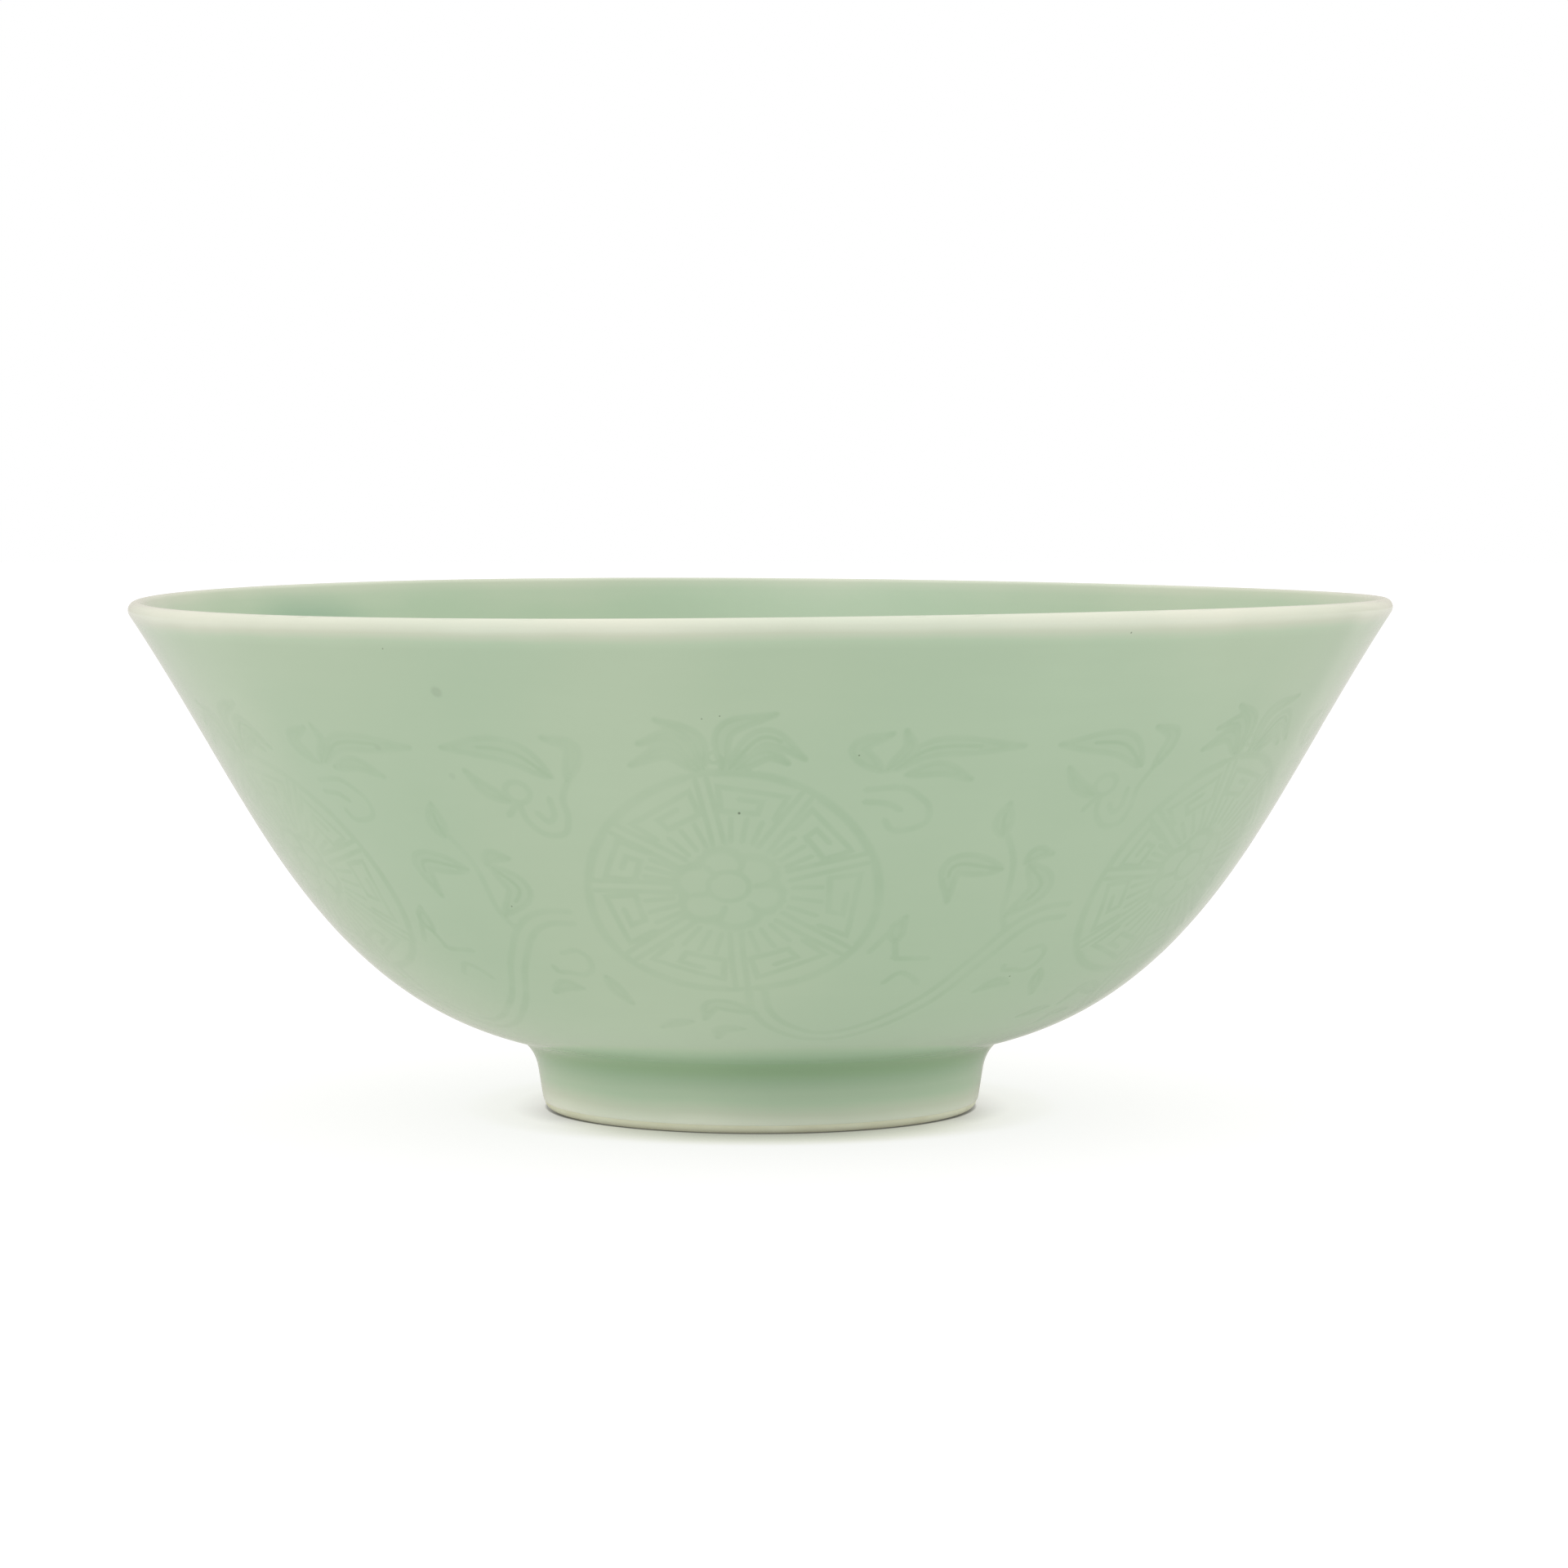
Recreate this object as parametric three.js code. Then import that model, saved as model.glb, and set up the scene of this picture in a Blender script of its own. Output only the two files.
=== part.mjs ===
import * as THREE from 'three';

// Footed porcelain bowl under a celadon glaze: a thrown and turned clay body, and the three coats of glaze
// that it is given, outside, inside and under the foot.
// Lengths are in millimetres, angles in degrees. +Z is up, and z = 0 is the table that the foot stands on.

// Overall size, measured over the glaze.
const rimDiameter = 175;
const height = 71.3;

// Outline of the wall: a nearly straight flare above a full belly. Leans are from the vertical.
const lipLean = 32.8;
const flareLean = 30.5;
const bellyHeight = 43.5;
const undersideLean = 76.3;
const bellyTopFullness = 0.32;
const bellyFootFullness = 0.38;

// Thickness of the finished wall at its lip and where it meets the foot, and of the floor at its centre.
const rimWall = 2.4;
const footWall = 4.2;
const floorThickness = 4.8;
const floorFullness = 0.4;

// Foot ring: its edge, its inward taper, and the hollow curve that joins it to the underside of the wall.
const footDiameter = 60.7;
const footTaper = 0.8;
const footWaistHeight = 5.6;
const footFilletReach = 3.45;
const footFilletRise = 4.5;
const footFilletFullness = 0.5;
const footRingWidth = 3.1;
const footBevel = 0.6;

// Hollow under the foot, its ceiling a little higher at the centre.
const recessDepth = 6.6;
const recessFillet = 1.8;
const recessDome = 0.5;

// Glaze: thin where it runs off the lip, thick where it gathers above the foot and in the well, and thin again
// towards the bare edge of the foot. The lip's run is measured down from its crest.
const glazeCoat = 0.35;
const lipCoat = 0.1;
const lipRun = 5.6;
const footPool = 0.8;
const wellPool = 0.6;
const footEndCoat = 0.15;
const baseCoat = 0.25;
const bareClayHeight = 1.1;

// Facets around the axis and steps along each stretch of the profile.
const facets = 60;
const lipOutsideSteps = 4;
const lipInsideSteps = 2;
const flareSteps = 3;
const bellySteps = 6;
const filletSteps = 3;
const floorSteps = 4;
const recessFilletSteps = 2;

const { degToRad, lerp, smoothstep } = THREE.MathUtils;
const onAxis = (z) => new THREE.Vector2(0, z);

// Unit direction of a wall that rises and leans outwards.
function rising(lean) {
  return new THREE.Vector2(Math.sin(degToRad(lean)), Math.cos(degToRad(lean)));
}

// Smooth curve from one point to another that leaves and arrives along two rising directions, going down.
function fallingCurve(from, fromLean, fromPull, to, toLean, toPull) {
  const leaving = from.clone().addScaledVector(rising(fromLean), -fromPull);
  const arriving = to.clone().addScaledVector(rising(toLean), toPull);
  return new THREE.CubicBezierCurve(from, leaving, arriving, to);
}

// A station is a point of a finished surface, the way that it faces, and the coat of glaze under it.
function stationsAlong(curve, steps, coatAt) {
  const stations = [];
  for (let i = 1; i <= steps; i++) {
    const share = i / steps;
    const tangent = curve.getTangentAt(share);
    const facing = new THREE.Vector2(-tangent.y, tangent.x);
    stations.push({ point: curve.getPointAt(share), facing, coat: coatAt(share) });
  }
  return stations;
}

const glazeSide = (stations) => stations.map(({ point }) => point);
const claySide = (stations) =>
  stations.map(({ point, facing, coat }) => point.clone().addScaledVector(facing, -coat));

// Lip: a round edge half as thick as the wall that it finishes, from the crest down both sides.
const lipRadius = rimWall / 2;
const lipCentre = new THREE.Vector2(rimDiameter / 2 - lipRadius, height - lipRadius);

// Coat of glaze at a distance down either side of the lip from its crest.
const coatFromCrest = (run) => lerp(lipCoat, glazeCoat, smoothstep(run, 0, lipRun));

function lipStation(angle) {
  const facing = new THREE.Vector2(Math.cos(degToRad(angle)), Math.sin(degToRad(angle)));
  const point = lipCentre.clone().addScaledVector(facing, lipRadius);
  return { point, facing, coat: coatFromCrest(lipRadius * degToRad(Math.abs(angle - 90))) };
}

function lipStations(toAngle, steps) {
  const stations = [];
  for (let i = 1; i <= steps; i++) stations.push(lipStation(lerp(90, toAngle, i / steps)));
  return stations;
}

const crest = lipStation(90);
const lipOutside = lipStations(-lipLean, lipOutsideSteps);
const lipInside = lipStations(180 - lipLean, lipInsideSteps);

// Outside of the wall, from the lip to the foot.
const lipEdge = lipOutside[lipOutsideSteps - 1].point;
const bellyDrop = lipEdge.y - bellyHeight;
const bellyTop = new THREE.Vector2(lipEdge.x - bellyDrop * Math.tan(degToRad(flareLean)), bellyHeight);
const footRadius = footDiameter / 2;
const footWaist = new THREE.Vector2(footRadius + footTaper, footWaistHeight);
const wallFoot = new THREE.Vector2(footWaist.x + footFilletReach, footWaistHeight + footFilletRise);

const flarePull = lipEdge.distanceTo(bellyTop) / 3;
const flare = fallingCurve(lipEdge, lipLean, flarePull, bellyTop, flareLean, flarePull);
const bellyChord = bellyTop.distanceTo(wallFoot);
const belly = fallingCurve(
  bellyTop, flareLean, bellyChord * bellyTopFullness,
  wallFoot, undersideLean, bellyChord * bellyFootFullness);
const flareLength = flare.getLength();
const wallLength = flareLength + belly.getLength();

const lipArc = lipRadius * degToRad(90 + lipLean);
const coatBelowLip = (share) => coatFromCrest(lipArc + share * flareLength);
const wall = [
  ...stationsAlong(flare, flareSteps, coatBelowLip),
  ...stationsAlong(belly, bellySteps, () => glazeCoat),
];

// Foot: the hollow curve, where the glaze gathers, and the tapered side down to the bare clay.
const footSideLean = THREE.MathUtils.radToDeg(Math.atan2(footTaper, footWaistHeight - footBevel));
const fillet = fallingCurve(
  wallFoot, undersideLean, footFilletReach * footFilletFullness,
  footWaist, footSideLean, footFilletRise * footFilletFullness);
const glazeEnd = footWaist.clone().addScaledVector(
  rising(footSideLean), (bareClayHeight - footWaistHeight) / rising(footSideLean).y);
const poolAt = (share) => glazeCoat + (footPool - glazeCoat) * Math.sin(Math.PI * share);
const foot = [
  ...stationsAlong(fillet, filletSteps, poolAt),
  ...stationsAlong(new THREE.LineCurve(footWaist, glazeEnd), 1, () => footEndCoat),
];

// Inside: the wall's own thickness in from its outside, then the floor of the well.
const wallAt = (share) => lerp(rimWall, footWall, share);
const insideWall = wall.map(({ point, facing, coat }, i) => {
  const run = i < flareSteps
    ? flareLength * (i + 1) / flareSteps
    : lerp(flareLength, wallLength, (i + 1 - flareSteps) / bellySteps);
  return {
    point: point.clone().addScaledVector(facing, -wallAt(run / wallLength)),
    facing: facing.clone().negate(),
    coat,
  };
});
const wellEdge = insideWall[insideWall.length - 1].point;
const wellCentre = onAxis(recessDepth + recessDome + floorThickness);
const wellPull = wellEdge.distanceTo(wellCentre) * floorFullness;
const well = fallingCurve(wellEdge, undersideLean, wellPull, wellCentre, 90, wellPull);
const floor = stationsAlong(well, floorSteps, (share) => lerp(glazeCoat, wellPool, share));
floor.forEach((station) => station.facing.negate());
floor[floorSteps - 1].facing.set(0, 1);

// Under the foot: the recess from its bare edge up its side, round its fillet and in to the axis.
const recessRadius = footRadius - footRingWidth;
const recessEdge = { point: new THREE.Vector2(recessRadius, bareClayHeight), facing: new THREE.Vector2(-1, 0) };
const recessRound = new THREE.EllipseCurve(
  recessRadius - recessFillet, recessDepth - recessFillet, recessFillet, recessFillet, 0, Math.PI / 2);
const recess = [
  { ...recessEdge, coat: baseCoat },
  { point: recessRound.getPoint(0), facing: recessEdge.facing, coat: baseCoat },
  ...stationsAlong(recessRound, recessFilletSteps, () => baseCoat),
  { point: onAxis(recessDepth + recessDome), facing: new THREE.Vector2(0, -1), coat: baseCoat },
];

// The bare clay that touches the table: a flat ring with a bevel on each side.
const clayFootRadius = footRadius - footEndCoat;
const clayRecessRadius = recessRadius + baseCoat;
const footEdge = [
  new THREE.Vector2(clayRecessRadius, footBevel),
  new THREE.Vector2(clayRecessRadius + footBevel, 0),
  new THREE.Vector2(clayFootRadius - footBevel, 0),
  new THREE.Vector2(clayFootRadius, footBevel),
];

const outside = [crest, ...lipOutside, ...wall, ...foot];
const inside = [crest, ...lipInside, ...insideWall, ...floor];

const porcelain = new THREE.MeshStandardMaterial({ color: 0xe3dfd0, roughness: 0.75, metalness: 0 });
const carvedGlaze = new THREE.MeshStandardMaterial({ color: 0xaec3a4, roughness: 0.12, metalness: 0 });
const linerGlaze = new THREE.MeshStandardMaterial({ color: 0xb2c6aa, roughness: 0.12, metalness: 0 });
const recessGlaze = new THREE.MeshStandardMaterial({ color: 0xb6c7ac, roughness: 0.18, metalness: 0 });

// Turns a profile round the bowl's axis. The profile keeps the solid on its left.
function turned(name, profile, material) {
  const geometry = new THREE.LatheGeometry(profile, facets).rotateX(Math.PI / 2);
  const mesh = new THREE.Mesh(geometry, material);
  mesh.name = name;
  return mesh;
}

const bodyProfile = [
  ...claySide(recess).reverse(),
  ...footEdge,
  ...claySide(outside).reverse(),
  ...claySide(inside).slice(1),
];
const outsideGlazeProfile = [...glazeSide(outside).reverse(), ...claySide(outside), glazeEnd];
const insideGlazeProfile = [...claySide(inside).reverse(), ...glazeSide(inside)];
const baseGlazeProfile = [...glazeSide(recess).reverse(), ...claySide(recess)];

const bowl = new THREE.Group();
bowl.add(turned('porcelain_body', bodyProfile, porcelain));
bowl.add(turned('outside_glaze', outsideGlazeProfile, carvedGlaze));
bowl.add(turned('inside_glaze', insideGlazeProfile, linerGlaze));
bowl.add(turned('base_glaze', baseGlazeProfile, recessGlaze));

export default bowl;
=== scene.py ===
import math

import bpy
import numpy as np
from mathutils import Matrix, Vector, geometry


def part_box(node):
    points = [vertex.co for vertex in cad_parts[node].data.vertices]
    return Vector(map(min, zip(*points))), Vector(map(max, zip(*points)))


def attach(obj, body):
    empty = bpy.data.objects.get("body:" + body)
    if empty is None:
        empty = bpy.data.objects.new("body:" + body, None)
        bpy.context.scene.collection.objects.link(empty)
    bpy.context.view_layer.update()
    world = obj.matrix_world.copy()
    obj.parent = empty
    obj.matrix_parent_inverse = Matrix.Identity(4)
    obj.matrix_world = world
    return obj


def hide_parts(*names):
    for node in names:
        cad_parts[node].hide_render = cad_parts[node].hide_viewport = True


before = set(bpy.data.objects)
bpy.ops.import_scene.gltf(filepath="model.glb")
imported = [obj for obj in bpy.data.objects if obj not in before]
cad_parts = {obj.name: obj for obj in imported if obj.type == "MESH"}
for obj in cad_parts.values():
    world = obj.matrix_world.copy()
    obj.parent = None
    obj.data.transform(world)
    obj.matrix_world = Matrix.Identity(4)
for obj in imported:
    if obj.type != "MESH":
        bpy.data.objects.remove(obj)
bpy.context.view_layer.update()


# The porcelain body: white clay, thrown on a wheel and turned down when leather-hard to a thin flared wall
# and a neat foot ring, then carved. The glaze hides it all but for the edge of the foot, which is wiped bare
# so that it won't stick in the kiln. Lengths are in metres, and leans in degrees from the vertical.
rim_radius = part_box("outside_glaze")[1].x
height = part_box("outside_glaze")[1].z
lip_lean = 32.8
flare_lean = 30.5
underside_lean = 76.3
belly_height = 0.0435
belly_top_fullness = 0.32
belly_foot_fullness = 0.38
rim_wall = 0.0024
foot_wall = 0.0042
floor_thickness = 0.0048
floor_fullness = 0.4

foot_radius = 0.03035
foot_taper = 0.0008
foot_waist_height = 0.0056
foot_fillet_reach = 0.00345
foot_fillet_rise = 0.0045
foot_fillet_fullness = 0.5
foot_ring_width = 0.0031
foot_edge_round = 0.0006
foot_outer_round = 0.0011
bare_clay_height = 0.0011
recess_depth = 0.0066
recess_fillet = 0.0018
recess_dome = 0.0005

glaze_coat = 0.00035
lip_coat = 0.0001
lip_thin_run = 0.0009
lip_run = 0.0056
inside_crest_coat = 0.00016
inside_lip_run = 0.0022
inside_top_coat = 0.00027
inside_coat = 0.00031
inside_gather_run = 0.007
foot_pool = 0.0008
# Painted shade: an extra coat that darkens the wall's underside toward the foot, where the bowl shades it,
# and fades out across the fillet.
underside_shade_coat = 0.0002
underside_shade_run = 0.013
underside_shade_share = 0.6
foot_pool_lean = 0.8
foot_thinning = 1.1
well_pool = 0.0006
foot_end_coat = 0.0001
base_coat = 0.00025
glaze_edge_round = 0.0007

curve_points = 241
crest_turn = 0.5
glaze_edge_rows = 5
columns = 360
seam_gap = 0.000001
sharp_angle = 40


def rising(lean):
    """Unit direction of a wall that rises and leans outwards."""
    return np.array([math.sin(math.radians(lean)), math.cos(math.radians(lean))])


def falling_curve(start, start_lean, start_pull, end, end_lean, end_pull):
    """Curve down the outline that follows the wall's lean at both of its ends."""
    leaving = start - start_pull * rising(start_lean)
    arriving = end + end_pull * rising(end_lean)
    t = np.linspace(0, 1, curve_points)[:, None]
    first, last = (1 - t) ** 3 * start, t**3 * end
    return first + 3 * (1 - t) ** 2 * t * leaving + 3 * (1 - t) * t**2 * arriving + last


def arc(centre, radius, start_angle, end_angle, count):
    """Round stretch of the outline, its angles in degrees from level and outwards."""
    angles = np.radians(np.linspace(start_angle, end_angle, count + 1))
    return centre + radius * np.column_stack([np.cos(angles), np.sin(angles)])


def run_along(points):
    """Distance along a line at each of its points."""
    return np.concatenate([[0.0], np.cumsum(np.linalg.norm(np.diff(points, axis=0), axis=1))])


def points_at(distances, run, points):
    """Points of a line at some distances along it, from the run at each of its own points."""
    return np.column_stack([np.interp(distances, run, values) for values in points.T])


def spaced(points, spacing):
    """The same line with its points at even steps of about the given spacing."""
    run = run_along(points)
    return points_at(np.linspace(0, run[-1], max(1, round(run[-1] / spacing)) + 1), run, points)


def end_to_end(*stretches):
    """Joins stretches of outline, or the numbers at their points, that share their ends."""
    return np.concatenate([stretches[0], *[stretch[1:] for stretch in stretches[1:]]])


def facing(points):
    """The way that an outline faces at each point, to the left of its travel."""
    tangent = np.gradient(points, run_along(points), axis=0)
    tangent /= np.linalg.norm(tangent, axis=1)[:, None]
    return np.column_stack([-tangent[:, 1], tangent[:, 0]])


def smooth_step(share):
    """Rises from 0 to 1 with a soft start and end."""
    share = np.clip(share, 0, 1)
    return share * share * (3 - 2 * share)


lip_radius = rim_wall / 2
lip_centre = np.array([rim_radius - lip_radius, height - lip_radius])
lip_edge = arc(lip_centre, lip_radius, -lip_lean, -lip_lean, 1)[0]
belly_drop = lip_edge[1] - belly_height
belly_top = np.array([lip_edge[0] - belly_drop * math.tan(math.radians(flare_lean)), belly_height])
foot_waist = np.array([foot_radius + foot_taper, foot_waist_height])
wall_foot = foot_waist + [foot_fillet_reach, foot_fillet_rise]
foot_side_lean = math.degrees(math.atan2(foot_taper, foot_waist_height - foot_edge_round))
foot_side = rising(foot_side_lean)
glaze_end = foot_waist + foot_side * (bare_clay_height - foot_waist_height) / foot_side[1]

flare_pull = np.linalg.norm(lip_edge - belly_top) / 3
flare = falling_curve(lip_edge, lip_lean, flare_pull, belly_top, flare_lean, flare_pull)
belly_chord = np.linalg.norm(belly_top - wall_foot)
belly = falling_curve(
    belly_top, flare_lean, belly_chord * belly_top_fullness,
    wall_foot, underside_lean, belly_chord * belly_foot_fullness)
fillet = falling_curve(
    wall_foot, underside_lean, foot_fillet_reach * foot_fillet_fullness,
    foot_waist, foot_side_lean, foot_fillet_rise * foot_fillet_fullness)
wall = end_to_end(flare, belly)


def lip_rows(end_angle, count):
    """The round lip from its crest down one side, with a row close beside the crest."""
    lip = arc(lip_centre, lip_radius, 90, end_angle, count)
    beside = 90 + math.copysign(crest_turn, end_angle - 90)
    return np.vstack([lip[:1], arc(lip_centre, lip_radius, beside, beside, 1)[:1], lip[1:]])


def outside_coat_at(run):
    """The outside glaze at a distance from the crest: it runs off the lip and leaves it thin and pale."""
    return lip_coat + (glaze_coat - lip_coat) * smooth_step((run - lip_thin_run) / (lip_run - lip_thin_run))


def outside_rows(lip_count, wall_steps, foot_spacing):
    """Outside of the bowl from its crest to the end of the glaze: points, how they face, their glaze."""
    lip = lip_rows(-lip_lean, lip_count)
    wall_rows = wall_steps(wall)
    fillet_rows = spaced(fillet, foot_spacing)
    side = glaze_end - foot_waist
    side_end = foot_waist + side * (1 - glaze_edge_round / np.linalg.norm(side))
    side_rows = spaced(np.array([foot_waist, side_end]), foot_spacing)
    edge_rows = spaced(np.array([side_end, glaze_end]), glaze_edge_round / glaze_edge_rows)
    foot_rows = end_to_end(side_rows, edge_rows)
    points = end_to_end(lip, wall_rows, fillet_rows, foot_rows)

    down_lip = run_along(lip)
    down_wall = run_along(wall_rows)
    on_wall_rows = outside_coat_at(down_lip[-1] + down_wall)
    # Painted shade: extra coat, so a darker colour, over the last stretch of the wall above the foot.
    on_wall_rows += underside_shade_coat * smooth_step(1 - (down_wall[-1] - down_wall) / underside_shade_run)
    down_fillet = run_along(fillet_rows)
    down_fillet /= down_fillet[-1]
    shade_coat_on_fillet = underside_shade_coat * (1 - smooth_step(down_fillet))
    deepest = foot_pool - glaze_coat - underside_shade_coat * underside_shade_share
    on_fillet = glaze_coat + shade_coat_on_fillet + deepest * np.sin(np.pi * down_fillet**foot_pool_lean)
    down_foot = run_along(foot_rows)
    on_foot = glaze_coat + (foot_end_coat - glaze_coat) * (down_foot / down_foot[-1]) ** foot_thinning
    return points, facing(points), end_to_end(outside_coat_at(down_lip), on_wall_rows, on_fillet, on_foot)


def inside_coat_at(run):
    """The inside glaze at a distance from the crest: thin on the lip, and deeper where it ran down."""
    settled = inside_top_coat + (inside_coat - inside_top_coat) * smooth_step(run / inside_gather_run)
    return inside_crest_coat + (settled - inside_crest_coat) * smooth_step(run / inside_lip_run)


def inside_rows(lip_count, spacing, floor_spacing):
    """Inside of the bowl from its crest to the middle of the well: points, how they face, their glaze."""
    lip = lip_rows(180 - lip_lean, lip_count)
    outer = spaced(wall, spacing)
    run = run_along(outer)
    thickness = rim_wall + (foot_wall - rim_wall) * run / run[-1]
    inner = outer - facing(outer) * thickness[:, None]
    well_centre = np.array([0.0, recess_depth + recess_dome + floor_thickness])
    pull = np.linalg.norm(inner[-1] - well_centre) * floor_fullness
    floor = spaced(falling_curve(inner[-1], underside_lean, pull, well_centre, 90, pull), floor_spacing)
    points = end_to_end(lip, inner, floor)
    way = -facing(points)
    way[-1] = [0.0, 1.0]

    down_lip = run_along(lip)
    on_inner = inside_coat_at(down_lip[-1] + run_along(inner))
    along_floor = run_along(floor)
    on_floor = inside_coat + (well_pool - inside_coat) * along_floor / along_floor[-1]
    return points, way, end_to_end(inside_coat_at(down_lip), on_inner, on_floor)


def recess_rows(spacing):
    """Hollow under the foot from its bare edge in to the axis: points, how they face, their glaze."""
    radius = foot_radius - foot_ring_width
    side = np.array([[radius, bare_clay_height], [radius, recess_depth - recess_fillet]])
    corner = arc(side[1] - [recess_fillet, 0], recess_fillet, 0, 90, count=8)
    ceiling = spaced(np.array([corner[-1], [0.0, recess_depth + recess_dome]]), spacing)
    points = end_to_end(spaced(side, spacing / 2), corner, ceiling)
    way = facing(points)
    way[-1] = [0.0, -1.0]
    return points, way, np.full(len(points), base_coat)


def clay_under(points, way, coat):
    """The clay's own surface under a coat of glaze."""
    return points - way * coat[:, None]


def add_node(tree, kind, inputs=None, output=0, **settings):
    """Adds a node with its settings, gives its inputs values or links, and hands back one of its outputs,
    or all of them where the output is None."""
    full_names = [prefix + kind for prefix in ("GeometryNode", "ShaderNode", "")]
    node = tree.nodes.new(next(name for name in full_names if hasattr(bpy.types, name)))
    node.location = (190 * (len(tree.nodes) % 12), -260 * (len(tree.nodes) // 12))
    for name, value in settings.items():
        setattr(node, name, value)
    for key, value in (inputs or {}).items():
        if isinstance(value, bpy.types.NodeSocket):
            tree.links.new(value, node.inputs[key])
        else:
            node.inputs[key].default_value = value
    return node.outputs[output] if node.outputs and output is not None else node.outputs


def tree_of(values):
    """The tree that the sockets among some values stand in."""
    return next(value.id_data for value in values if isinstance(value, bpy.types.NodeSocket))


def math_node(operation, *values):
    """Arithmetic on numbers and sockets."""
    return add_node(tree_of(values), "Math", dict(enumerate(values)), operation=operation)


def plus(first, second):
    """The sum of two numbers, one of them a socket."""
    return math_node("ADD", first, second)


def minus(first, second):
    """The first number less the second."""
    return math_node("SUBTRACT", first, second)


def times(first, second):
    """The product of two numbers."""
    return math_node("MULTIPLY", first, second)


def vector_node(operation, *values, output="Vector"):
    """Vector arithmetic on sockets and fixed vectors."""
    return add_node(tree_of(values), "VectorMath", dict(enumerate(values)), output, operation=operation)


def parts_of(vector):
    """The X, Y and Z of a vector."""
    return add_node(vector.id_data, "SeparateXYZ", {0: vector}, None)


def azimuth_of(axes):
    """The turn round the bowl's axis from the camera's side, in radians."""
    return math_node("ARCTAN2", axes["X"], times(axes["Y"], -1.0))


def around_axis(place, azimuth):
    """A place of the outline (X is the radius, Z the height) turned round the bowl's axis."""
    place = parts_of(place)
    return add_node(azimuth.id_data, "CombineXYZ", {
        "X": times(place["X"], math_node("SINE", azimuth)),
        "Y": times(place["X"], times(math_node("COSINE", azimuth), -1.0)), "Z": place["Z"]})


def carried(tree, name):
    """A number that each point carries."""
    return add_node(tree, "InputNamedAttribute", {"Name": name}, "Attribute", data_type="FLOAT")


def sampled(shape, value, index, data_type="FLOAT"):
    """A value as it is at one point of another shape."""
    inputs = {"Geometry": shape, "Value": value, "Index": index}
    return add_node(shape.id_data, "SampleIndex", inputs, "Value", data_type=data_type, domain="POINT")


def marked(shape, name, value):
    """A shape whose points carry one more number."""
    inputs = {"Geometry": shape, "Name": name, "Value": value}
    return add_node(shape.id_data, "StoreNamedAttribute", inputs, data_type="FLOAT", domain="POINT")


def moved(shape, **where):
    """A shape with its points at a Position, or moved by an Offset."""
    return add_node(shape.id_data, "SetPosition", {"Geometry": shape, **where})


def merged(shape, distance):
    """A shape with the points that meet made one."""
    return add_node(shape.id_data, "MergeByDistance", {"Geometry": shape, "Distance": distance})


def position(tree):
    """Where each point is."""
    return add_node(tree, "InputPosition")


def new_tree(name, inputs):
    """A geometry tree with a geometry going in and out, a finish, and the named inputs for its sizes."""
    tree = bpy.data.node_groups.new(name, "GeometryNodeTree")
    tree.interface.new_socket("Geometry", in_out="OUTPUT", socket_type="NodeSocketGeometry")
    for label, kind in {"Geometry": "Geometry", **inputs, "Finish": "Material"}.items():
        tree.interface.new_socket(label, in_out="INPUT", socket_type="NodeSocket" + kind)
    return tree, add_node(tree, "NodeGroupInput", output=None)


def end_tree(tree, given, shape):
    """Ends a tree with one plain shape that has its finish on."""
    plain = add_node(tree, "RealizeInstances", {"Geometry": shape})
    dressed = add_node(tree, "SetMaterial", {"Geometry": plain, "Material": given["Finish"]})
    add_node(tree, "NodeGroupOutput", {"Geometry": dressed})
    return tree


def turning_tree():
    """Turns a profile round the axis, as the wheel does, keeping what it carries."""
    tree, given = new_tree("turn_on_the_wheel", {"Columns": "Int", "Start": "Float"})
    profile = given["Geometry"]
    rows = add_node(
        tree, "AttributeDomainSize", {"Geometry": profile}, "Point Count", component="MESH")
    grid = add_node(tree, "MeshGrid", {
        "Vertices X": plus(given["Columns"], 1), "Vertices Y": rows}, "Mesh")
    index = add_node(tree, "InputIndex")
    column = math_node("FLOOR", math_node("DIVIDE", plus(index, 0.5), rows))
    row = minus(index, times(column, rows))
    azimuth = math_node("DIVIDE", times(column, math.tau), given["Columns"])
    azimuth = plus(azimuth, given["Start"])
    place = sampled(profile, position(tree), row, "FLOAT_VECTOR")
    shape = moved(grid, Position=around_axis(place, azimuth))
    for name in ("coat", "finished"):
        shape = marked(shape, name, sampled(profile, carried(tree, name), row))
    shape = merged(shape, seam_gap)
    faces_met = add_node(tree, "InputMeshEdgeNeighbors", output="Face Count")
    bare = math_node("LESS_THAN", faces_met, 0.5)
    shape = add_node(tree, "DeleteGeometry", {"Geometry": shape, "Selection": bare}, domain="EDGE")
    return end_tree(tree, given, add_node(tree, "SetShadeSmooth", {"Geometry": shape}))


def kiln_tree():
    """Lets the soft wall settle in the kiln: the rim goes a little out of level, the foot stays flat."""
    tree, given = new_tree("settle_in_the_kiln", {
        "Height": "Float", "Saddle Across": "Float", "Saddle Along": "Float", "Tilt": "Float"})
    axes = parts_of(position(tree))
    azimuth = azimuth_of(axes)
    twice = times(azimuth, 2.0)
    across = times(math_node("SINE", twice), given["Saddle Across"])
    lengthwise = times(math_node("COSINE", twice), given["Saddle Along"])
    tilt = times(math_node("SINE", azimuth), given["Tilt"])
    lift = plus(plus(across, lengthwise), tilt)
    share = math_node("DIVIDE", axes["Z"], given["Height"])
    lift = times(lift, times(share, share))
    offset = add_node(tree, "CombineXYZ", {"Z": lift})
    return end_tree(tree, given, moved(given["Geometry"], Offset=offset))


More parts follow.
